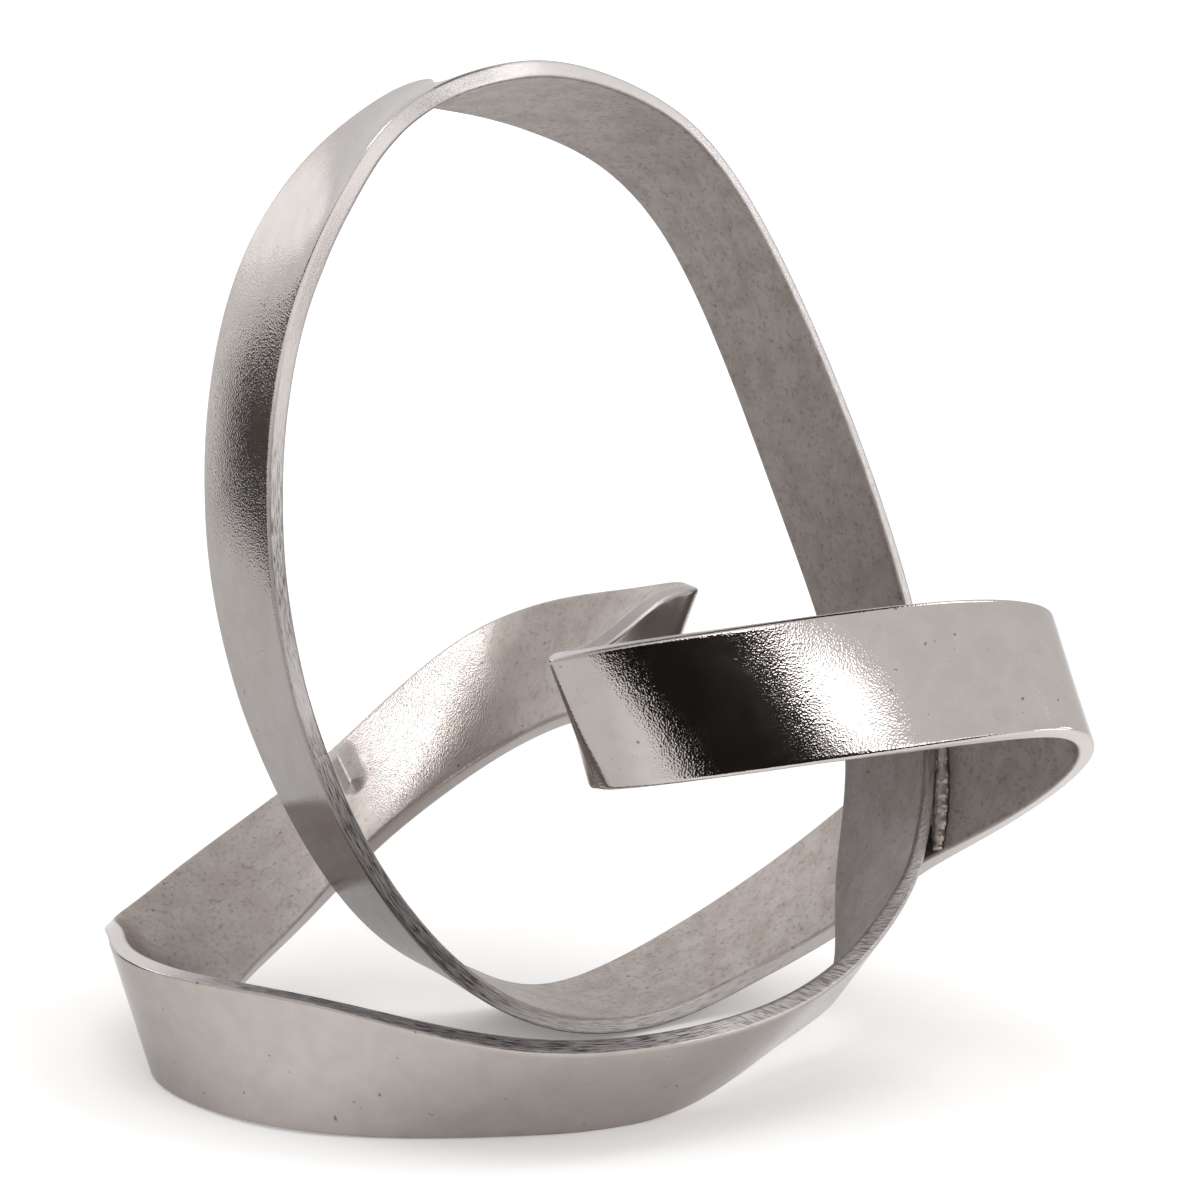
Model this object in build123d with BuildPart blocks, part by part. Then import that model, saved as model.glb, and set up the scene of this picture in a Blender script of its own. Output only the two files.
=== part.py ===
from build123d import *
import math
import os

os.makedirs("parts", exist_ok=True)

# Driving sizes, in millimetres. The course sizes are those of the block that the band's middle
# line winds in.
course_width = 300.0
course_depth = 200.0
course_height = 312.0
band_width = 42.9
band_thickness = 5.7
edge_radius = 1.3
foot_grind = 0.8

# Butt welds that join the castings end to end, and the proud run left on one of them
seam_width = 3.0
seam_crown = 0.12
ridge_length = 22.0
ridge_width = 8.0
ridge_height = 2.6
ridge_sink = 0.8
ridge_taper_angle = 38

# Beads that join two stretches of the band where they cross
bead_radius = 3.0
bead_offset = 0.6
bead_end_share = 0.55
ripple_share = 0.9

# How finely the band is drawn
sections_per_guide = 3
steps_per_guide = 8

# The course of the band: once round from the top of the arch, down its left side, through the
# dip, up behind the right side, round the right curl, across the front, back through the fold,
# down to the left curl, along the base and up the right side. Each row is one guide place: its
# place as shares of the course's width, depth and height, then the direction across the band
# there (right, away from the front, up). The band comes back half a turn over, so its two long
# edges are one edge.
course_shares = [
    (-0.120, 0.110, 0.945, 0.45, -0.75, 0.35),
    (-0.165, 0.095, 0.935, -0.10, -1.00, 0.10),
    (-0.235, 0.140, 0.875, -0.10, -0.85, -0.40),
    (-0.340, 0.225, 0.735, 0.50, -0.95, -0.40),
    (-0.370, 0.185, 0.465, 0.55, -0.80, 0.35),
    (-0.290, 0.065, 0.240, 0.30, -0.85, 0.50),
    (-0.200, 0.005, 0.115, 0.25, -0.85, 0.35),
    (-0.100, 0.020, 0.045, 0.35, -1.00, 0.00),
    (0.005, 0.145, -0.007, 0.70, -0.75, 0.10),
    (0.150, 0.275, 0.045, 0.15, -1.00, -0.20),
    (0.270, 0.215, 0.140, 0.00, -0.80, -0.60),
    (0.330, 0.085, 0.230, -0.05, -0.75, -0.65),
    (0.405, -0.010, 0.305, 0.40, -0.55, -0.75),
    (0.465, -0.090, 0.370, 0.40, -0.60, -0.75),
    (0.475, -0.165, 0.420, 0.15, -0.75, -0.65),
    (0.380, -0.235, 0.435, 0.20, -0.45, -0.75),
    (0.102, -0.288, 0.406, 0.10, -0.20, -1.05),
    (0.008, -0.262, 0.389, 0.40, -0.05, -0.95),
    (-0.009, -0.247, 0.383, 0.35, 0.00, -0.95),
    (-0.010, -0.239, 0.383, 0.30, 0.10, -0.90),
    (-0.009, -0.231, 0.383, 0.25, 0.20, -0.90),
    (-0.008, -0.223, 0.384, 0.20, 0.30, -0.90),
    (-0.005, -0.214, 0.387, 0.15, 0.35, -0.90),
    (0.005, -0.198, 0.392, 0.10, 0.45, -0.90),
    (0.032, -0.161, 0.406, 0.05, 0.45, -0.90),
    (0.055, -0.130, 0.417, -0.05, 0.25, -0.90),
    (0.070, -0.109, 0.419, -0.15, 0.00, -0.90),
    (0.078, -0.084, 0.418, -0.30, -0.20, -0.85),
    (0.068, -0.039, 0.415, -0.40, -0.40, -0.85),
    (0.020, 0.050, 0.395, -0.45, -0.65, -0.70),
    (-0.105, 0.200, 0.340, 0.35, -0.65, -0.70),
    (-0.265, 0.265, 0.180, 0.15, -0.95, -0.35),
    (-0.375, 0.170, 0.105, 0.95, -0.55, -0.40),
    (-0.430, 0.070, 0.075, 0.70, -0.40, -0.45),
    (-0.455, -0.035, 0.065, 0.30, -0.10, -0.85),
    (-0.455, -0.140, 0.070, 0.25, 0.15, -1.00),
    (-0.405, -0.255, 0.070, 0.10, 0.15, -1.05),
    (-0.285, -0.380, 0.075, 0.00, -0.05, -0.90),
    (-0.055, -0.455, 0.060, 0.00, 0.75, -0.85),
    (0.115, -0.340, 0.055, -0.40, 0.45, -0.80),
    (0.215, -0.180, 0.085, -0.45, 0.65, -0.65),
    (0.285, -0.065, 0.115, -0.25, 0.55, -0.80),
    (0.290, 0.045, 0.170, -0.60, 0.65, -0.45),
    (0.320, 0.160, 0.300, -0.50, 0.80, -0.35),
    (0.240, 0.310, 0.520, -0.65, 0.60, -0.55),
    (0.115, 0.460, 0.810, -0.50, 0.80, -0.35),
    (-0.005, 0.320, 0.895, -0.90, 0.50, -0.35),
    (-0.075, 0.195, 0.930, -0.80, 0.55, -0.40),
]
guide_count = len(course_shares)

# The band is thinner up the right side of the arch: thickness there, by guide place
thin_shares = {42: 0.90, 43: 0.75, 44: 0.65, 45: 0.65, 46: 0.80, 47: 0.95}

# Where the castings end along the course: the guide place before, and the share of the way on to
# the next one
top_seam_share = -0.3
left_seam_share = 4.9
rising_seam_share = 9.6
fold_seam_share = 19.0
corner_seam_share = 28.0
back_seam_share = 30.85
base_seam_share = 37.0
upright_seam_share = 41.2

# Where the proud run of the back seam lies across the band
ridge_place_share = -0.20

# Where the beads start and end along the course, and the ripples in each
left_bead_shares = (5.40, 5.62)
left_bead_ripple_count = 3
right_bead_shares = (41.98, 42.84)
right_bead_ripple_count = 8


# A guide row, counted on past the end of the table, where the band is half a turn over
def guide_row(number):
    rounds, index = divmod(number, guide_count)
    side = -1 if rounds % 2 else 1
    row = course_shares[index]
    return row[:3] + tuple(side * share for share in row[3:]) + (thin_shares.get(index, 1),)


# Weighted mean of the four guide rows around a place, which keeps the course smooth
def mixed_row(place, weights):
    first = math.floor(place) - 1
    rows = [guide_row(first + step) for step in range(4)]
    return [sum(weight * row[k] for weight, row in zip(weights, rows)) for k in range(7)]


def smooth_row(place):
    t = place - math.floor(place)
    before = (1 - t) ** 3 / 6
    near = (3 * t**3 - 6 * t**2 + 4) / 6
    after = t**3 / 6
    return mixed_row(place, (before, near, 1 - before - near - after, after))


# The course's run from one guide place to the next
def travel_at(place):
    t = place - math.floor(place)
    before = -((1 - t) ** 2) / 2
    near = (3 * t**2 - 4 * t) / 2
    after = t**2 / 2
    row = mixed_row(place, (before, near, -before - near - after, after))
    return Vector(row[0] * course_width, row[1] * course_depth, row[2] * course_height)


# Plane of the section at a place: its x runs across the band, its y out of the band's face and
# its z along the band
def course_plane(place):
    row = smooth_row(place)
    spot = Vector(row[0] * course_width, row[1] * course_depth, row[2] * course_height)
    along = travel_at(place).normalized()
    across = Vector(*row[3:6])
    return Plane(origin=spot, x_dir=across - along * across.dot(along), z_dir=along)


def thickness_at(place):
    return smooth_row(place)[6] * band_thickness


# Point of a section, as shares of the band's width and thickness from its middle
def section_spot(plane, place, width_share, thickness_share):
    x = width_share * band_width
    y = thickness_share * thickness_at(place)
    return plane.from_local_coords(Vector(x, y))


# How far the band reaches, from the corners of its sections
def reach_of_band():
    corners = []
    for step in range(guide_count * steps_per_guide):
        place = step / steps_per_guide
        plane = course_plane(place)
        for width_share in (-0.5, 0.5):
            for thickness_share in (-0.5, 0.5):
                corners.append(section_spot(plane, place, width_share, thickness_share))
    return corners


def middle(values):
    return (min(values) + max(values)) / 2


# The origin is under the middle of the knot, on the table, where its feet are ground flat
reach = reach_of_band()
rest_spot = Vector(
    middle([spot.X for spot in reach]),
    middle([spot.Y for spot in reach]),
    min(spot.Z for spot in reach) + foot_grind,
)


def section_plane(place):
    plane = course_plane(place)
    return Plane(origin=plane.origin - rest_spot, x_dir=plane.x_dir, z_dir=plane.z_dir)


# Half a seam's width, counted in guide places
def seam_half(place):
    return seam_width / 2 / travel_at(place).length


def section_places(start, finish):
    count = max(2, math.ceil((finish - start) * sections_per_guide))
    return [start + (finish - start) * step / count for step in range(count + 1)]


# One casting: the band between two seams, with its low edge ground flat where it stands
def cast_band(label, start_seam, finish_seam):
    start = start_seam + seam_half(start_seam)
    finish = finish_seam - seam_half(finish_seam)
    with BuildPart() as piece:
        for place in section_places(start, finish):
            with BuildSketch(section_plane(place)):
                RectangleRounded(band_width, thickness_at(place), edge_radius)
        loft()
        if piece.part.bounding_box().min.Z < 0:
            split(bisect_by=Plane.XY, keep=Keep.TOP)
    piece.part.label = label
    return piece.part


# Weld metal that fills a seam, dressed nearly flush with the castings on both sides
def seam_weld(label, seam):
    half = seam_half(seam)
    with BuildPart() as piece:
        for place, crown in ((seam - half, 0), (seam, seam_crown), (seam + half, 0)):
            width = band_width + 2 * crown
            thickness = thickness_at(place) + 2 * crown
            with BuildSketch(section_plane(place)):
                RectangleRounded(width, thickness, edge_radius)
        loft()
        if piece.part.bounding_box().min.Z < 0:
            split(bisect_by=Plane.XY, keep=Keep.TOP)
    piece.part.label = label
    return piece.part


# The back seam's weld, with the run that was left proud of the band's outer face
def proud_seam_weld(label, seam, neighbours):
    section = section_plane(seam)
    face_spot = section_spot(section, seam, ridge_place_share, 0.5)
    ridge_plane = Plane(
        origin=face_spot - section.y_dir * ridge_sink,
        x_dir=section.x_dir,
        z_dir=section.y_dir,
    )
    with BuildPart() as piece:
        add(seam_weld(label, seam))
        with BuildSketch(ridge_plane):
            RectangleRounded(ridge_length, ridge_width, edge_radius)
        extrude(amount=ridge_sink + ridge_height, taper=ridge_taper_angle)
        for neighbour in neighbours:
            add(neighbour, mode=Mode.SUBTRACT)
    piece.part.label = label
    return piece.part


# A rippled bead beside the inner corner of one stretch, with its middle line on the face of the
# stretch behind it. Its radius falls between ripples and towards both ends.
def crossing_weld(label, bead_shares, ripple_count, edge_band, face_band):
    start, finish = bead_shares
    steps = 2 * ripple_count
    skin = face_band.shell()
    with BuildPart() as piece:
        for step in range(steps + 1):
            place = start + (finish - start) * step / steps
            section = section_plane(place)
            beside = section_spot(section, place, -0.5, -0.5) - section.x_dir * bead_offset
            distance, spot, start_spot = skin.distance_to_with_closest_points(beside)
            swell = bead_end_share + (1 - bead_end_share) * math.sin(math.pi * step / steps)
            ripple = 1 if step % 2 else ripple_share
            with BuildSketch(Plane(origin=spot, x_dir=section.x_dir, z_dir=section.z_dir)):
                Circle(bead_radius * swell * ripple)
        loft()
        add(edge_band, mode=Mode.SUBTRACT)
        add(face_band, mode=Mode.SUBTRACT)
    # The bead is what lies in the open: a crumb that the corner cuts off behind it isn't metal
    bead = piece.part.solids().sort_by(SortBy.VOLUME)[-1]
    bead.label = label
    return bead


left_arch_band = cast_band("left_arch_band", top_seam_share, left_seam_share)
dip_band = cast_band("dip_band", left_seam_share, rising_seam_share)
front_curl_band = cast_band("front_curl_band", rising_seam_share, fold_seam_share)
return_band = cast_band("return_band", fold_seam_share, corner_seam_share)
back_band = cast_band("back_band", corner_seam_share, back_seam_share)
left_curl_band = cast_band("left_curl_band", back_seam_share, base_seam_share)
base_band = cast_band("base_band", base_seam_share, upright_seam_share)
right_arch_band = cast_band("right_arch_band", upright_seam_share, top_seam_share + guide_count)

pieces = [
    left_arch_band,
    dip_band,
    front_curl_band,
    return_band,
    back_band,
    left_curl_band,
    base_band,
    right_arch_band,
    seam_weld("top_seam_weld", top_seam_share),
    seam_weld("left_seam_weld", left_seam_share),
    seam_weld("rising_seam_weld", rising_seam_share),
    seam_weld("fold_seam_weld", fold_seam_share),
    seam_weld("corner_seam_weld", corner_seam_share),
    proud_seam_weld("back_seam_weld", back_seam_share, (back_band, left_curl_band)),
    seam_weld("base_seam_weld", base_seam_share),
    seam_weld("upright_seam_weld", upright_seam_share),
    crossing_weld(
        "left_crossing_weld", left_bead_shares, left_bead_ripple_count, dip_band, left_curl_band
    ),
    crossing_weld(
        "right_crossing_weld",
        right_bead_shares,
        right_bead_ripple_count,
        right_arch_band,
        front_curl_band,
    ),
]

for piece in pieces:
    export_step(piece, f"parts/{piece.label}.step")
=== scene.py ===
import bpy
import math
import numpy as np
from mathutils import Matrix, Vector, noise


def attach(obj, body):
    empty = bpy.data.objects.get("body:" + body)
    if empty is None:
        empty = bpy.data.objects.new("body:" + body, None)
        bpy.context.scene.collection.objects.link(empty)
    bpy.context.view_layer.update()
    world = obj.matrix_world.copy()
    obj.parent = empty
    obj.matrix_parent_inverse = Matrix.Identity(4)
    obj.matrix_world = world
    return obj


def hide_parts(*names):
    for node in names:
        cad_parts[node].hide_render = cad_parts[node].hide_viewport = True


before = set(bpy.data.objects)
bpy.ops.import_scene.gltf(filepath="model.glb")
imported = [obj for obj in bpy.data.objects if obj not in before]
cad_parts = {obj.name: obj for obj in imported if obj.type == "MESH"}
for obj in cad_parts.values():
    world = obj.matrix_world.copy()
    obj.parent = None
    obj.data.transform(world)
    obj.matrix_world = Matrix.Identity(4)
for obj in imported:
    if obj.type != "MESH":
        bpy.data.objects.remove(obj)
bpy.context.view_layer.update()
print("frame loaded:", len(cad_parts), "nodes")


# an sRGB hex value as a linear colour
def hexColour(code):
    parts = [int(code[i:i + 2], 16) / 255 for i in (1, 3, 5)]
    linear = [c / 12.92 if c <= 0.04045 else ((c + 0.055) / 1.055) ** 2.4 for c in parts]
    return (*linear, 1.0)


# adds a shader node; an input is a value or another node's output
def addNode(tree, kind, settings=None, inputs=None, output=0):
    node = tree.nodes.new("ShaderNode" + kind)
    for name, value in (settings or {}).items():
        setattr(node, name, value)
    for name, value in (inputs or {}).items():
        if isinstance(value, bpy.types.NodeSocket):
            tree.links.new(value, node.inputs[name])
        else:
            node.inputs[name].default_value = value
    return node.outputs[output] if node.outputs else node


# the nodes of a material or world, empty
def emptyTree(owner):
    owner.use_nodes = True
    owner.node_tree.nodes.clear()
    return owner.node_tree


def addObject(name, data):
    thing = bpy.data.objects.new(name, data)
    bpy.context.collection.objects.link(thing)
    return thing


# the band; lengths are in metres throughout
band = {
    "courseSize": (0.300, 0.200, 0.312),  # width, depth and height that the course's shares are of
    "width": 0.0429,
    "thickness": 0.0057,
    "cornerRadius": 0.0012,
    "footGrind": 0.0008,
    "seamWidth": 0.003,
    "inset": 0.00003,  # keeps every surface inside the solids
    "ringSpacing": 0.0009,  # mesh steps along the course
    "fewestRings": 5,
    "faceSteps": 48,
    "edgeSteps": 5,
    "cornerSteps": 4,
    "lengthSteps": 60,  # places at which a stretch's length is measured
    "restSteps": 8,  # places to a guide point at which the resting place is measured
    "faceFrom": 0.2,  # how far a corner leans towards the face where the face's finish begins
    "faceOver": 0.6,  # and how much farther it leans where the edge's finish has gone
}
# unevenness of the sand mould: slow lumps with a quicker ripple on them
castSkin = {"depth": 0.00016, "lumpSize": 0.020, "rippleSize": 0.0045, "rippleShare": 0.22,
            "polishedAway": 0.7}

# place as shares of the course's width, depth and height, then the direction across the band
courseShares = [
    (-0.120, 0.110, 0.945, 0.45, -0.75, 0.35),
    (-0.165, 0.095, 0.935, -0.10, -1.00, 0.10),
    (-0.235, 0.140, 0.875, -0.10, -0.85, -0.40),
    (-0.340, 0.225, 0.735, 0.50, -0.95, -0.40),
    (-0.370, 0.185, 0.465, 0.55, -0.80, 0.35),
    (-0.290, 0.065, 0.240, 0.30, -0.85, 0.50),
    (-0.200, 0.005, 0.115, 0.25, -0.85, 0.35),
    (-0.100, 0.020, 0.045, 0.35, -1.00, 0.00),
    (0.005, 0.145, -0.007, 0.70, -0.75, 0.10),
    (0.150, 0.275, 0.045, 0.15, -1.00, -0.20),
    (0.270, 0.215, 0.140, 0.00, -0.80, -0.60),
    (0.330, 0.085, 0.230, -0.05, -0.75, -0.65),
    (0.405, -0.010, 0.305, 0.40, -0.55, -0.75),
    (0.465, -0.090, 0.370, 0.40, -0.60, -0.75),
    (0.475, -0.165, 0.420, 0.15, -0.75, -0.65),
    (0.380, -0.235, 0.435, 0.20, -0.45, -0.75),
    (0.102, -0.288, 0.406, 0.10, -0.20, -1.05),
    (0.008, -0.262, 0.389, 0.40, -0.05, -0.95),
    (-0.009, -0.247, 0.383, 0.35, 0.00, -0.95),
    (-0.010, -0.239, 0.383, 0.30, 0.10, -0.90),
    (-0.009, -0.231, 0.383, 0.25, 0.20, -0.90),
    (-0.008, -0.223, 0.384, 0.20, 0.30, -0.90),
    (-0.005, -0.214, 0.387, 0.15, 0.35, -0.90),
    (0.005, -0.198, 0.392, 0.10, 0.45, -0.90),
    (0.032, -0.161, 0.406, 0.05, 0.45, -0.90),
    (0.055, -0.130, 0.417, -0.05, 0.25, -0.90),
    (0.070, -0.109, 0.419, -0.15, 0.00, -0.90),
    (0.078, -0.084, 0.418, -0.30, -0.20, -0.85),
    (0.068, -0.039, 0.415, -0.40, -0.40, -0.85),
    (0.020, 0.050, 0.395, -0.45, -0.65, -0.70),
    (-0.105, 0.200, 0.340, 0.35, -0.65, -0.70),
    (-0.265, 0.265, 0.180, 0.15, -0.95, -0.35),
    (-0.375, 0.170, 0.105, 0.95, -0.55, -0.40),
    (-0.430, 0.070, 0.075, 0.70, -0.40, -0.45),
    (-0.455, -0.035, 0.065, 0.30, -0.10, -0.85),
    (-0.455, -0.140, 0.070, 0.25, 0.15, -1.00),
    (-0.405, -0.255, 0.070, 0.10, 0.15, -1.05),
    (-0.285, -0.380, 0.075, 0.00, -0.05, -0.90),
    (-0.055, -0.455, 0.060, 0.00, 0.75, -0.85),
    (0.115, -0.340, 0.055, -0.40, 0.45, -0.80),
    (0.215, -0.180, 0.085, -0.45, 0.65, -0.65),
    (0.285, -0.065, 0.115, -0.25, 0.55, -0.80),
    (0.290, 0.045, 0.170, -0.60, 0.65, -0.45),
    (0.320, 0.160, 0.300, -0.50, 0.80, -0.35),
    (0.240, 0.310, 0.520, -0.65, 0.60, -0.55),
    (0.115, 0.460, 0.810, -0.50, 0.80, -0.35),
    (-0.005, 0.320, 0.895, -0.90, 0.50, -0.35),
    (-0.075, 0.195, 0.930, -0.80, 0.55, -0.40),
]
guideCount = len(courseShares)
# the right upright is thinner: share of the thickness by guide point
thinShares = {42: 0.90, 43: 0.75, 44: 0.65, 45: 0.65, 46: 0.80, 47: 0.95}
# where one casting ends and the next begins, in guide points from the first
seamPlaces = {"top": -0.3, "left": 4.9, "rising": 9.6, "fold": 19.0,
              "corner": 28.0, "back": 30.85, "base": 37.0, "upright": 41.2}


def guideRow(number):
    rounds, index = divmod(number, guideCount)
    side = -1 if rounds % 2 else 1  # the band comes back half a turn over
    row = courseShares[index]
    return [*row[:3], *(side * share for share in row[3:]), thinShares.get(index, 1.0)]


spareRows = 4  # rows before the first point and after the last, for stretches that pass the top
guideTable = np.array([guideRow(n) for n in range(-spareRows, guideCount + 2 * spareRows)])


# middle line, directions and thickness at places along the course, on a cubic B-spline
def courseAt(places):
    first = np.floor(places).astype(int)
    t = places - first
    before, near, after = (1 - t) ** 3 / 6, (3 * t**3 - 6 * t**2 + 4) / 6, t**3 / 6
    spotWeights = np.stack([before, near, 1 - before - near - after, after])
    before, near, after = -((1 - t) ** 2) / 2, (3 * t**2 - 4 * t) / 2, t**2 / 2
    travelWeights = np.stack([before, near, -before - near - after, after])
    rows = np.stack([guideTable[first - 1 + spareRows + step] for step in range(4)])
    mixed = np.einsum("kn,knc->nc", spotWeights, rows)
    travel = np.einsum("kn,knc->nc", travelWeights, rows)[:, :3] * band["courseSize"]
    speed = np.linalg.norm(travel, axis=1)
    along = travel / speed[:, None]
    across = mixed[:, 3:6] - along * np.sum(along * mixed[:, 3:6], axis=1)[:, None]
    across /= np.linalg.norm(across, axis=1)[:, None]
    return {
        "spot": mixed[:, :3] * band["courseSize"], "along": along, "across": across,
        "out": np.cross(along, across), "thick": mixed[:, 6] * band["thickness"], "speed": speed,
    }


# the course is moved to where the solids stand, with the feet on the floor
def restSpot():
    whole = courseAt(np.arange(guideCount * band["restSteps"]) / band["restSteps"])
    thick = whole["thick"][:, None]
    corners = np.concatenate([
        whole["spot"] + side * band["width"] * whole["across"] + face * thick * whole["out"]
        for side in (-0.5, 0.5) for face in (-0.5, 0.5)
    ])
    low, high = corners.min(0), corners.max(0)
    return np.array([*((low + high) / 2)[:2], low[2] + band["footGrind"]])


courseShift = restSpot()
print("course shift in mm:", np.round(courseShift * 1000, 3))


# One turn round the section: side and face, -1 to 1, of each point's corner centre, and how far
# the point leans out to the side and to the face from there.
def ringPoints():
    turns = [((1, 1), 0), ((-1, 1), 90), ((-1, -1), 180), ((1, -1), 270)]
    steps = [band["faceSteps"], band["edgeSteps"]] * 2
    points = []
    for number, ((side, face), angle) in enumerate(turns):
        for step in range(band["cornerSteps"]):
            lean = math.radians(angle + 90 * step / band["cornerSteps"])
            points.append((side, face, math.cos(lean), math.sin(lean)))
        lean = math.radians(angle + 90)
        nextSide, nextFace = turns[(number + 1) % 4][0]
        for step in range(steps[number]):
            t = step / steps[number]
            points.append((side + (nextSide - side) * t, face + (nextFace - face) * t,
                           math.cos(lean), math.sin(lean)))
    return dict(zip(("side", "face", "leanSide", "leanFace"), np.array(points).T))


ring = ringPoints()


# unevenness of the castings, 0 to 1, from the place alone, so it is the same where pieces meet
def castRelief(points):
    lump, ripple = (
        np.array([0.5 + 0.5 * noise.noise(Vector(p) / castSkin[size]) for p in points])
        for size in ("lumpSize", "rippleSize")
    )
    share = castSkin["rippleShare"]
    return np.clip((1 - share) * lump + share * ripple, 0, 1)


# How the two faces and the two edges are finished along the course, by guide place: how polished,
# how coarse the grain that shows, how much painted shade and painted dark reflection darken it, and where the
# edge was brushed on a slant.
# "Plus" is the face that shows on the left arch, "Minus" the other, "EdgeF" the edge that shows
# there and "EdgeR" the one behind it. The half turn swaps them at the top seam.
bandFinish = {
    "polishPlus": [(-1, 1.0), (4.5, 1.0), (5.5, 0.7), (8, 0.5), (12, 0.6), (13.5, 1.0), (18.5, 1.0),
                   (20, 0.5), (27, 0.4), (29.6, 0.25), (30.0, 0.7), (30.6, 0.7), (31, 0.3),
                   (31.6, 0.1), (41, 0.15), (42, 0.35), (43.2, 0.3), (43.8, 0.1), (48, 0.1)],
    "polishMinus": [(-1, 0.1), (13, 0.1), (19, 0.5), (28, 0.8), (33, 1.0), (48, 1.0)],
    "coarsePlus": [(-1, 0.0), (2.6, 0.0), (3, 0.6), (4, 0.6), (4.4, 0.0), (15.8, 0.0), (16.5, 0.4),
                   (17, 0.0), (29.4, 0.0), (30, 1.0), (31.4, 1.0), (32.4, 0.0), (48, 0.0)],
    "slantEdgeR": [(-1, 0.0), (38.8, 0.0), (39.4, 1.0), (42, 1.0), (42.6, 0.0), (48, 0.0)],
    # the next four lists are painted shade and painted dark reflections by place: 1 leaves the colour, lower
    # darkens it
    "paintedShadePlus": [(-1, 1.0), (3.2, 1.0), (3.8, 0.62), (4.6, 0.54), (5.2, 0.4), (6.5, 0.3), (8, 0.5),
                 (12, 0.9), (16.3, 1.0), (17, 0.72), (19, 0.72), (22, 0.9), (30, 1.0), (31.5, 0.86),
                 (34, 0.84), (41, 0.4), (43, 0.38), (44, 0.52), (46, 0.6), (48, 0.66)],
    "paintedShadeMinus": [(-1, 0.6), (1, 0.6), (6, 0.8), (7.6, 0.8), (9, 1.0), (10, 0.85), (11, 0.62), (12.5, 0.52),
                  (19, 0.6), (30, 0.8), (33, 0.7), (35, 0.62), (37, 0.84), (41, 0.84), (48, 1.0)],
    "paintedShadeEdgeF": [(-1, 1.0), (3.1, 1.0), (3.6, 0.72), (4.1, 0.58), (4.7, 0.8), (5.3, 0.3), (6.4, 0.3),
                  (6.9, 0.7), (8, 0.7), (12, 0.9), (48, 0.9)],
    "paintedShadeEdgeR": [(-1, 1.0), (35.6, 1.0), (36.6, 0.5), (37.2, 0.36), (38.6, 0.36), (39.0, 0.62),
                  (40.8, 0.65), (42, 0.7), (48, 1.0)],
}


# values between the stops of a list, as a column
def alongCourse(stops, places):
    stops = np.array(stops)
    return np.interp(places, stops[:, 0], stops[:, 1])[:, None]


# the show face of the left arch is crowned: it falls away towards both edges
crown = {"share": [(1.5, 0.0), (2.6, 1.0), (3.8, 1.0), (4.6, 0.0)], "fall": 0.0013}


def crownFall(places, side):
    share = alongCourse(crown["share"], places)
    return crown["fall"] * share * (side / (band["width"] / 2)) ** 2


# the run of weld that was left proud on the back seam: a low roof across the band
weldRidge = {"place": seamPlaces["back"], "side": -0.0086, "length": 0.021, "halfWidth": 0.0046,
             "height": 0.0019, "endFade": 0.004, "flatLean": 0.99}  # it is on the flat of one face


def ridgeRise(course, places, side):
    apart = (places - weldRidge["place"]) * course["speed"]
    roof = np.clip(1 - np.abs(apart) / weldRidge["halfWidth"], 0, 1)[:, None]
    inside = weldRidge["length"] / 2 - np.abs(side - weldRidge["side"])
    ends = np.clip(inside / weldRidge["endFade"], 0, 1)
    return weldRidge["height"] * roof * ends * (ring["leanFace"] > weldRidge["flatLean"])


# directions straight out of a grid of rings, for all rings but the first and the last
def ringNormals(grid, leaning):
    alongGrid = grid[2:] - grid[:-2]
    roundGrid = (np.roll(grid, -1, axis=1) - np.roll(grid, 1, axis=1))[1:-1]
    normals = np.cross(roundGrid, alongGrid)
    normals /= np.maximum(np.linalg.norm(normals, axis=2, keepdims=True), 1e-12)
    outward = np.sum(normals * leaning[1:-1])
    return normals if outward > 0 else -normals


# what castAluminium reads at each point of a stretch
def finishFacts(course, places, layer, start):
    def mixed(shares):
        return sum(alongCourse(bandFinish[name], places) * share for name, share in shares.items())

    onPlus = np.clip((ring["leanFace"] - band["faceFrom"]) / band["faceOver"], 0, 1)
    onMinus = np.clip((-ring["leanFace"] - band["faceFrom"]) / band["faceOver"], 0, 1)
    onEdge = 1 - onPlus - onMinus
    onEdgeF = onEdge * (ring["leanSide"] > 0)
    onEdgeR = onEdge - onEdgeF
    steps = np.linalg.norm(np.diff(course["spot"][1:-1], axis=0), axis=1)
    travelled = np.concatenate([[0], np.cumsum(steps)])
    return {
        "edge": np.tile(onEdge, (len(places), 1)),
        "polish": mixed({"polishPlus": onPlus, "polishMinus": onMinus}),
        # painted shade and painted dark reflections, by place and by face or edge
        "paintedShade": mixed({"paintedShadePlus": onPlus, "paintedShadeMinus": onMinus,
                       "paintedShadeEdgeF": onEdgeF, "paintedShadeEdgeR": onEdgeR}),
        "coarse": mixed({"coarsePlus": onPlus}),
        "slant": mixed({"slantEdgeR": onEdgeR}),
        "travel": np.repeat(travelled + start, len(onEdge)),
        "layer": layer,
    }


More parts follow.
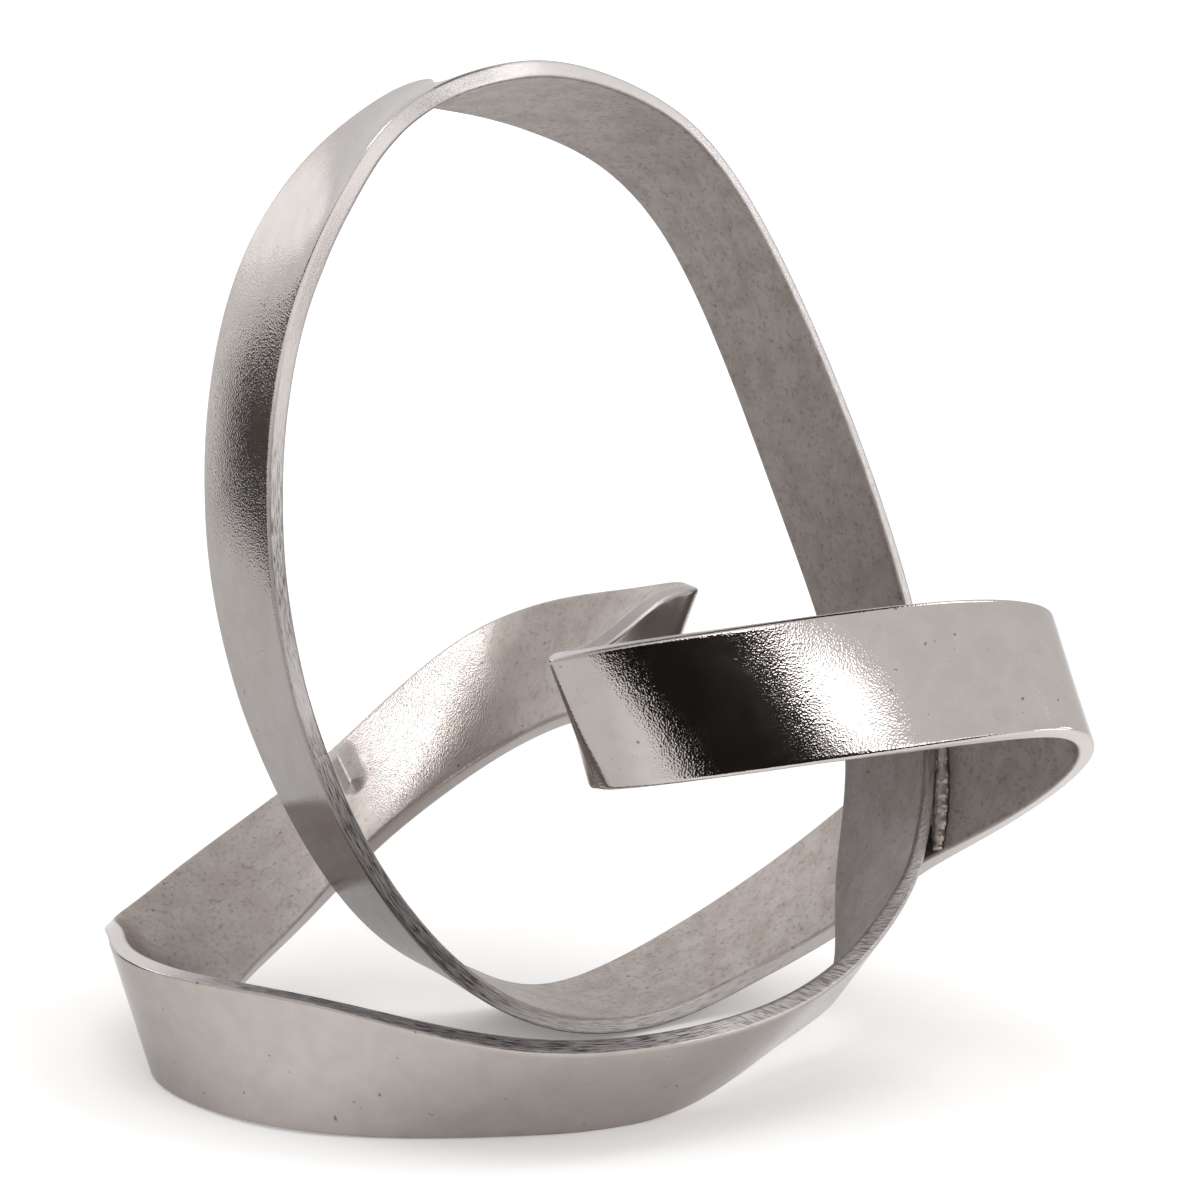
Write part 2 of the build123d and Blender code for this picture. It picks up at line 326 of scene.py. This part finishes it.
# A stretch of the band as one closed mesh. It is made in mesh code, because no edit-mode tool
# follows a course that twists as it goes.
def sweepBand(name, start, finish):
    rough = courseAt(np.linspace(start, finish, band["lengthSteps"]))
    length = float(rough["speed"].mean() * (finish - start))
    count = max(band["fewestRings"], math.ceil(length / band["ringSpacing"]) + 1)
    gap = (finish - start) / (count - 1)
    places = start + gap * np.arange(-1, count + 1)  # one ring more at each end, for the normals
    course = courseAt(places)
    radius = band["cornerRadius"]
    reach = np.full(len(places), band["width"] / 2 - radius)
    depth = course["thick"] / 2 - radius
    side = reach[:, None] * ring["side"] + radius * ring["leanSide"]
    face = depth[:, None] * ring["face"] + radius * ring["leanFace"]
    crowned = face - crownFall(places, side)
    middle = (course["spot"] - courseShift)[:, None, :]
    across, out = course["across"][:, None, :], course["out"][:, None, :]
    points = (middle + side[..., None] * across + crowned[..., None] * out).reshape(-1, 3)
    leaning = ring["leanSide"][:, None] * across + ring["leanFace"][:, None] * out
    leaning = leaning.reshape(-1, 3)
    shown = np.where(ring["leanFace"] > 0, alongCourse(bandFinish["polishPlus"], places),
                     alongCourse(bandFinish["polishMinus"], places))
    left = 1 - castSkin["polishedAway"] * shown  # polishing takes most of the unevenness off
    relief = band["inset"] + castSkin["depth"] * castRelief(points) * left.reshape(-1)
    points = points - leaning * relief[:, None]
    points = points + leaning * ridgeRise(course, places, side).reshape(-1, 1)
    points[:, 2] = np.maximum(points[:, 2], 0.0)
    turn = len(ring["side"])
    grid = points.reshape(len(places), turn, 3)
    normals = ringNormals(grid, leaning.reshape(grid.shape))
    faces = [
        (i * turn + j, i * turn + (j + 1) % turn, (i + 1) * turn + (j + 1) % turn, (i + 1) * turn + j)
        for i in range(count - 1) for j in range(turn)
    ]
    faces.append(tuple(range(turn - 1, -1, -1)))
    faces.append(tuple(range((count - 1) * turn, count * turn)))
    mesh = bpy.data.meshes.new(name)
    mesh.from_pydata(grid[1:-1].reshape(-1, 3).tolist(), [], faces)
    for fact, values in finishFacts(course, places[1:-1], face[1:-1], start).items():
        attribute = mesh.attributes.new(fact, "FLOAT", "POINT")
        attribute.data.foreach_set("value", values.reshape(-1).astype(np.float32))
    mesh.polygons.foreach_set("use_smooth", [True] * len(mesh.polygons))
    mesh.update()
    mesh.normals_split_custom_set_from_vertices(normals.reshape(-1, 3).tolist())
    return addObject(name, mesh)


# Plated sand-cast aluminium: a warm grey metal whose show faces are polished bright over a fine
# peel, and whose hidden faces keep the dull, lightly mottled grain of the sand.
castFinish = {
    "polished": hexColour("#d9d2ce"),
    "polishedStain": hexColour("#d3cbc7"),
    "sandy": hexColour("#d5ccc7"),
    "sandyStain": hexColour("#c7bcb5"),
    "pit": hexColour("#7c7069"),
    # the edges' own brushed colour, made lighter than the faces as a painted highlight
    "edge": hexColour("#f2ecea"),
    "scratch": hexColour("#6a5f59"),
    "polishedRough": 0.09,
    "sandyRough": 0.44,
    "edgeRough": 0.32,
    "unevenRough": (-0.015, 0.02),  # what the mottle takes from the faces' roughness and adds to it
    "peelHeight": 0.028,  # heights in mm
    "swellHeight": 0.025,
    "sandHeight": 0.12,
    "strokeHeight": 0.1,
    "coarser": 2.0,  # how much higher the peel stands where it is coarse
    "peelSize": 0.0006,
    "peelBlend": 0.6,
}
# noise: size in metres, detail, roughness, distortion
castNoises = {
    "mottle": (0.008, 4.0, 0.6, 0.3),
    "fine": (0.0016, 3.0, 0.65, 0.0),
    "speck": (0.0026, 1.0, 0.55, 0.0),
    "swell": (0.005, 2.0, 0.5, 0.0),
    "sand": (0.0005, 3.0, 0.65, 0.0),
}
# where a pattern begins to show and where it shows in full, and how much of it then
castMarks = {
    "stain": (0.36, 0.66, 1.0),
    "pits": (0.5, 0.72, 0.5),
    "specks": (0.74, 0.80, 0.7),
    "uneven": (0.3, 0.7, 1.0),
    "streaks": (0.45, 0.62, 1.0),
    "littlePaintedShade": (0.5, 0.9, 1.0),  # where painted shade leaves an edge this light, its strokes show no dark
}
# brush strokes on the edges: size across them, and what is left of their noise's scale lengthwise
strokeNoises = {"along": (0.0003, 0.05), "aslant": (0.0006, 0.08)}
strokeDetail, strokeRoughness = 2.0, 0.6
millimetre = 0.001

# a Mix node's sockets by number: the share, two numbers, two colours, and the colour that comes out
mixShare, numberA, numberB, colourA, colourB, colourOut = 0, 2, 3, 6, 7, 2
smooth, rgba = {"interpolation_type": "SMOOTHSTEP"}, {"data_type": "RGBA"}
times, plus, minus = {"operation": "MULTIPLY"}, {"operation": "ADD"}, {"operation": "SUBTRACT"}
timesPlus = {"operation": "MULTIPLY_ADD"}

castAluminium = bpy.data.materials.new("platedCastAluminium")
tree = emptyTree(castAluminium)
coords = addNode(tree, "TexCoord", output="Object")
facts = {
    label: addNode(tree, "Attribute", {"attribute_name": label}, output="Fac")
    for label in ("edge", "polish", "paintedShade", "coarse", "slant", "travel", "layer")
}
noises = {
    label: addNode(tree, "TexNoise", None, {
        "Vector": coords, "Scale": 1 / size, "Detail": detail, "Roughness": roughness,
        "Distortion": distortion}, "Fac")
    for label, (size, detail, roughness, distortion) in castNoises.items()
}
peel = addNode(tree, "TexVoronoi", {"feature": "SMOOTH_F1"}, {
    "Vector": coords, "Scale": 1 / castFinish["peelSize"], "Smoothness": castFinish["peelBlend"]}, "Distance")

# strokes: the noise is drawn out along the edge, or at 45 degrees where it was brushed on a slant
drawn = addNode(tree, "Math", times, {0: facts["travel"], 1: strokeNoises["along"][1]})
along = addNode(tree, "CombineXYZ", None, {"X": drawn, "Y": facts["layer"]})
backward = addNode(tree, "Math", minus, {0: facts["layer"], 1: facts["travel"]})
drawn = addNode(tree, "Math", times, {0: backward, 1: strokeNoises["aslant"][1]})
forward = addNode(tree, "Math", plus, {0: facts["layer"], 1: facts["travel"]})
aslant = addNode(tree, "CombineXYZ", None, {"X": drawn, "Y": forward})
brushed = [
    addNode(tree, "TexNoise", None, {
        "Vector": place, "Scale": 1 / strokeNoises[label][0], "Detail": strokeDetail,
        "Roughness": strokeRoughness}, "Fac")
    for label, place in (("along", along), ("aslant", aslant))
]
strokes = addNode(tree, "Mix", None, {mixShare: facts["slant"], numberA: brushed[0], numberB: brushed[1]})

# how much of each mark shows at a point
marks = {
    label: addNode(tree, "MapRange", smooth, {
        "Value": source, "From Min": castMarks[label][0], "From Max": castMarks[label][1],
        "To Max": castMarks[label][2]})
    for label, source in (
        ("stain", noises["mottle"]), ("pits", noises["fine"]), ("specks", noises["speck"]),
        ("streaks", strokes), ("littlePaintedShade", facts["paintedShade"]), ("uneven", noises["mottle"]))
}

# colour: the plate, mottled and pitted where the sand face was left, the edges lighter with a painted
# highlight and dark in their strokes under painted shade, all darkened by place with painted shade and
# painted dark reflections
polished = addNode(tree, "Mix", rgba, {
    mixShare: marks["stain"], colourA: castFinish["polished"], colourB: castFinish["polishedStain"]
}, colourOut)
sandy = addNode(tree, "Mix", rgba, {
    mixShare: marks["stain"], colourA: castFinish["sandy"], colourB: castFinish["sandyStain"]}, colourOut)
sandy = addNode(tree, "Mix", rgba, {
    mixShare: marks["pits"], colourA: sandy, colourB: castFinish["pit"]}, colourOut)
colour = addNode(tree, "Mix", rgba, {
    mixShare: facts["polish"], colourA: sandy, colourB: polished}, colourOut)
colour = addNode(tree, "Mix", rgba, {
    mixShare: marks["specks"], colourA: colour, colourB: castFinish["pit"]}, colourOut)
# the edges' strokes show dark only where painted shade darkens the colour
paintedDarkness = addNode(tree, "Math", minus, {0: 1.0, 1: marks["littlePaintedShade"]})
wornInShade = addNode(tree, "Math", times, {0: marks["streaks"], 1: paintedDarkness})
# the edges: lighter with a painted highlight, with dark strokes where painted shade falls
edgeColour = addNode(tree, "Mix", rgba, {
    mixShare: wornInShade, colourA: castFinish["edge"], colourB: castFinish["scratch"]}, colourOut)
colour = addNode(tree, "Mix", rgba, {
    mixShare: facts["edge"], colourA: colour, colourB: edgeColour}, colourOut)
# painted shade and painted dark reflections: the colour is multiplied down by place
colour = addNode(tree, "Mix", {**rgba, "blend_type": "MULTIPLY"}, {
    mixShare: 1.0, colourA: colour, colourB: facts["paintedShade"]}, colourOut)

# roughness: bright where polished, sandy elsewhere, satin on the brushed edges
faceRough = addNode(tree, "MapRange", smooth, {
    "Value": facts["polish"], "To Min": castFinish["sandyRough"], "To Max": castFinish["polishedRough"]})
uneven = addNode(tree, "Mix", None, {
    mixShare: marks["uneven"], numberA: castFinish["unevenRough"][0], numberB: castFinish["unevenRough"][1]})
faceRough = addNode(tree, "Math", plus, {0: faceRough, 1: uneven})
rough = addNode(tree, "Mix", None, {
    mixShare: facts["edge"], numberA: faceRough, numberB: castFinish["edgeRough"]})

# relief: peel and sand grains about half a millimetre across, a slow swell, strokes on the edges
coarser = addNode(tree, "Math", timesPlus, {0: facts["coarse"], 1: castFinish["coarser"], 2: 1.0})
peelShare = addNode(tree, "Math", times, {0: facts["polish"], 1: castFinish["peelHeight"]})
peelShare = addNode(tree, "Math", times, {0: peelShare, 1: coarser})
unpolished = addNode(tree, "Math", minus, {0: 1.0, 1: facts["polish"]})
sandShare = addNode(tree, "Math", times, {0: unpolished, 1: castFinish["sandHeight"]})
strokeShare = addNode(tree, "Math", times, {0: facts["edge"], 1: castFinish["strokeHeight"]})
height = addNode(tree, "Math", times, {0: noises["swell"], 1: castFinish["swellHeight"]})
for share, pattern in ((peelShare, peel), (sandShare, noises["sand"]), (strokeShare, strokes)):
    height = addNode(tree, "Math", timesPlus, {0: share, 1: pattern, 2: height})
bump = addNode(tree, "Bump", None, {"Height": height, "Strength": 1.0, "Distance": millimetre})
metal = addNode(tree, "BsdfPrincipled", None, {
    "Base Color": colour, "Metallic": 1.0, "Roughness": rough, "Normal": bump})
addNode(tree, "OutputMaterial", None, {"Surface": metal})

# Weld metal left as it was laid: rough, browned by the heat, with a painted glint on each ripple where its
# grain stands high.
weldFinish = {
    "bright": hexColour("#c9c0b9"),
    "burnt": hexColour("#91867e"),
    "rough": 0.32,
    "grainSize": 0.0011,
    "grainDetail": 3.0,
    "grainHeight": 0.0003,
}
weldAluminium = bpy.data.materials.new("weldAluminium")
tree = emptyTree(weldAluminium)
coords = addNode(tree, "TexCoord", output="Object")
grain = addNode(tree, "TexNoise", None, {
    "Vector": coords, "Scale": 1 / weldFinish["grainSize"], "Detail": weldFinish["grainDetail"]}, "Fac")
# painted glint: the grain's crests get the lighter colour, its hollows the heat-browned one
colour = addNode(tree, "Mix", rgba, {
    mixShare: grain, colourA: weldFinish["burnt"], colourB: weldFinish["bright"]}, colourOut)
bump = addNode(tree, "Bump", None, {
    "Height": grain, "Strength": 1.0, "Distance": weldFinish["grainHeight"]})
metal = addNode(tree, "BsdfPrincipled", None, {
    "Base Color": colour, "Metallic": 1.0, "Roughness": weldFinish["rough"], "Normal": bump})
addNode(tree, "OutputMaterial", None, {"Surface": metal})
print("materials made")

# the eight castings, each from one seam to the next
castings = {
    "left_arch_band": ("top", "left"),
    "dip_band": ("left", "rising"),
    "front_curl_band": ("rising", "fold"),
    "return_band": ("fold", "corner"),
    "back_band": ("corner", "back"),
    "left_curl_band": ("back", "base"),
    "base_band": ("base", "upright"),
    "right_arch_band": ("upright", "top"),
}


def seamHalf(place):
    return band["seamWidth"] / 2 / float(courseAt(np.array([place]))["speed"][0])


def finishPiece(piece, node, material):
    piece.data.materials.append(material)
    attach(piece, "root")
    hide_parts(node)


for node, (startName, finishName) in castings.items():
    start, finish = seamPlaces[startName], seamPlaces[finishName]
    if finish < start:
        finish += guideCount
    piece = sweepBand(node.replace("_band", "_casting"), start + seamHalf(start), finish - seamHalf(finish))
    finishPiece(piece, node, castAluminium)
print("castings made")

# the seams, dressed nearly flush and plated with the castings
for seamName, place in seamPlaces.items():
    half = seamHalf(place)
    piece = sweepBand(seamName + "_seam", place - half, place + half)
    finishPiece(piece, seamName + "_seam_weld", castAluminium)
print("seams made")

# the two crossing beads: the CAD bead, made lumpy as hand-laid weld is
bead = {"voxel": 0.0004, "lumpSize": 0.0022, "lumpDepth": 0.0008, "sunkShare": 0.55}
for node in ("left_crossing_weld", "right_crossing_weld"):
    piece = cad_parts[node].copy()
    piece.data = piece.data.copy()
    piece.name = node.replace("_weld", "_bead")
    piece.parent = None
    for key in [key for key in piece.keys() if key.startswith("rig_")]:
        del piece[key]  # what marks the node itself
    bpy.context.collection.objects.link(piece)
    piece.matrix_world = Matrix.Identity(4)
    piece.data.materials.clear()
    bpy.ops.object.select_all(action="DESELECT")
    piece.select_set(True)
    bpy.context.view_layer.objects.active = piece
    remesh = piece.modifiers.new("remesh", "REMESH")
    remesh.mode, remesh.voxel_size, remesh.use_smooth_shade = "VOXEL", bead["voxel"], True
    lumps = bpy.data.textures.new(node + "Lumps", "CLOUDS")
    lumps.noise_scale = bead["lumpSize"]
    swelling = piece.modifiers.new("lumps", "DISPLACE")
    swelling.texture, swelling.texture_coords = lumps, "GLOBAL"
    swelling.strength, swelling.mid_level = bead["lumpDepth"], bead["sunkShare"]
    for modifier in ("remesh", "lumps"):
        bpy.ops.object.modifier_apply(modifier=modifier)
    finishPiece(piece, node, weldAluminium)
print("beads made")

# the camera, at the photograph's viewing angle
view = {
    "target": (0.002748, 0.007994, 0.139690),
    "distance": 1.8,
    "elevation": 16.25,
    "lens": 180,
    "sensor": 36,
}
elevation = math.radians(view["elevation"])
cameraData = bpy.data.cameras.new("camera")
cameraData.lens = view["lens"]
cameraData.sensor_width = view["sensor"]
camera = addObject("camera", cameraData)
back = Vector((0, -math.cos(elevation), math.sin(elevation)))
camera.location = Vector(view["target"]) + back * view["distance"]
camera.rotation_euler = (math.radians(90) - elevation, 0, 0)
bpy.context.scene.camera = camera

# floor: pale paper that is lifted to white away from the knot, for the camera only
stage = {"floorReach": 6.0, "floorColour": hexColour("#f4f3f2"),
         "liftStart": 0.15, "liftEnd": 2.2, "liftLow": 0.22, "liftHigh": 0.75}
bpy.ops.object.select_all(action="DESELECT")
bpy.ops.mesh.primitive_plane_add(size=stage["floorReach"] * 2, location=(0, 0, 0))
floor = bpy.context.object
floor.name = "floor"
floorPaper = bpy.data.materials.new("floorPaper")
tree = emptyTree(floorPaper)
coords = addNode(tree, "TexCoord", output="Object")
away = addNode(tree, "VectorMath", {"operation": "LENGTH"}, {"Vector": coords}, "Value")
lift = addNode(tree, "MapRange", smooth, {
    "Value": away, "From Min": stage["liftStart"], "From Max": stage["liftEnd"],
    "To Min": stage["liftLow"], "To Max": stage["liftHigh"]})
seen = addNode(tree, "LightPath", output="Is Camera Ray")
lift = addNode(tree, "Math", times, {0: lift, 1: seen})
shade = addNode(tree, "BsdfDiffuse", None, {"Color": stage["floorColour"]})
glow = addNode(tree, "Emission", None, {"Color": stage["floorColour"], "Strength": lift})
both = addNode(tree, "AddShader", None, {0: shade, 1: glow})
addNode(tree, "OutputMaterial", None, {"Surface": both})
floor.data.materials.append(floorPaper)

# the studio: white behind, and for the metal a greyer room than the white of the backdrop
studio = {
    "fill": 0.80,
    "mirrored": 0.72,
    "backdrop": 1.0,
    "middle": (0.0, 0.0, 0.13),
}
world = bpy.data.worlds.new("studio")
bpy.context.scene.world = world
tree = emptyTree(world)
white = (1.0, 1.0, 1.0, 1.0)
rooms = {
    label: addNode(tree, "Background", None, {"Color": white, "Strength": studio[label]})
    for label in ("fill", "mirrored", "backdrop")
}
glossy = addNode(tree, "LightPath", output="Is Glossy Ray")
seen = addNode(tree, "LightPath", output="Is Camera Ray")
room = addNode(tree, "MixShader", None, {0: glossy, 1: rooms["fill"], 2: rooms["mirrored"]})
room = addNode(tree, "MixShader", None, {0: seen, 1: room, 2: rooms["backdrop"]})
addNode(tree, "OutputWorld", None, {"Surface": room})


# where something stands that is seen from the object at this azimuth and elevation
def studioSpot(azimuth, height, distance):
    a, e = math.radians(azimuth), math.radians(height)
    lean = Vector((math.sin(a) * math.cos(e), -math.cos(a) * math.cos(e), math.sin(e)))
    return Vector(studio["middle"]) + lean * distance


# softboxes: azimuth and elevation from the object, distance, width, height, power
softboxes = {
    "frontBox": (13, 21, 1.6, 0.34, 0.38, 0.95),
    "rightBox": (84, 24, 1.5, 0.30, 0.40, 1.2),
    "leftBox": (-101, 22, 1.5, 0.24, 0.30, 0.95),
    "backLeftBox": (-134, 14, 1.5, 0.50, 0.50, 0.3),
    "topBox": (97, 58, 1.5, 0.45, 0.50, 2.4),
    "lowBox": (56, 1, 1.0, 0.50, 0.26, 0.9),
    "overBox": (-20, 80, 1.8, 0.90, 0.90, 5.0),
}
for name, (azimuth, height, distance, width, tall, power) in softboxes.items():
    lamp = bpy.data.lights.new(name, "AREA")
    lamp.shape = "RECTANGLE"
    lamp.size, lamp.size_y, lamp.energy = width, tall, power
    holder = addObject(name, lamp)
    holder.location = studioSpot(azimuth, height, distance)
    towards = Vector(studio["middle"]) - holder.location
    holder.rotation_euler = towards.to_track_quat("-Z", "Y").to_euler()

# Dark cards that only the metal sees, as a photographer sets them to give it its dark reflections.
# middle, width, height, whether it lies flat overhead or stands and faces the knot, colour
darkCards = {
    "frontCard": ((0.085, -0.60, 0.16), 0.41, 0.32, False, "#1c1917"),
    "leftCard": ((-0.79, 0.25, 0.095), 0.44, 0.19, False, "#55524f"),
    "overCard": ((0.0, -0.06, 0.75), 0.60, 0.58, True, "#1c1917"),
}
for name, (middle, width, tall, lying, code) in darkCards.items():
    bpy.ops.object.select_all(action="DESELECT")
    bpy.ops.mesh.primitive_plane_add(size=1, location=middle)
    card = bpy.context.object
    card.name = name
    card.scale = (width, tall, 1)
    if not lying:
        towards = Vector((-middle[0], -middle[1], 0))
        card.rotation_euler = towards.to_track_quat("Z", "Y").to_euler()
    paper = bpy.data.materials.new(name.replace("Card", "Paper"))
    tree = emptyTree(paper)
    shade = addNode(tree, "BsdfDiffuse", None, {"Color": hexColour(code)})
    addNode(tree, "OutputMaterial", None, {"Surface": shade})
    card.data.materials.append(paper)
    card.visible_camera = card.visible_diffuse = card.visible_shadow = False
print("studio set")

bpy.context.scene.view_settings.view_transform = "Standard"
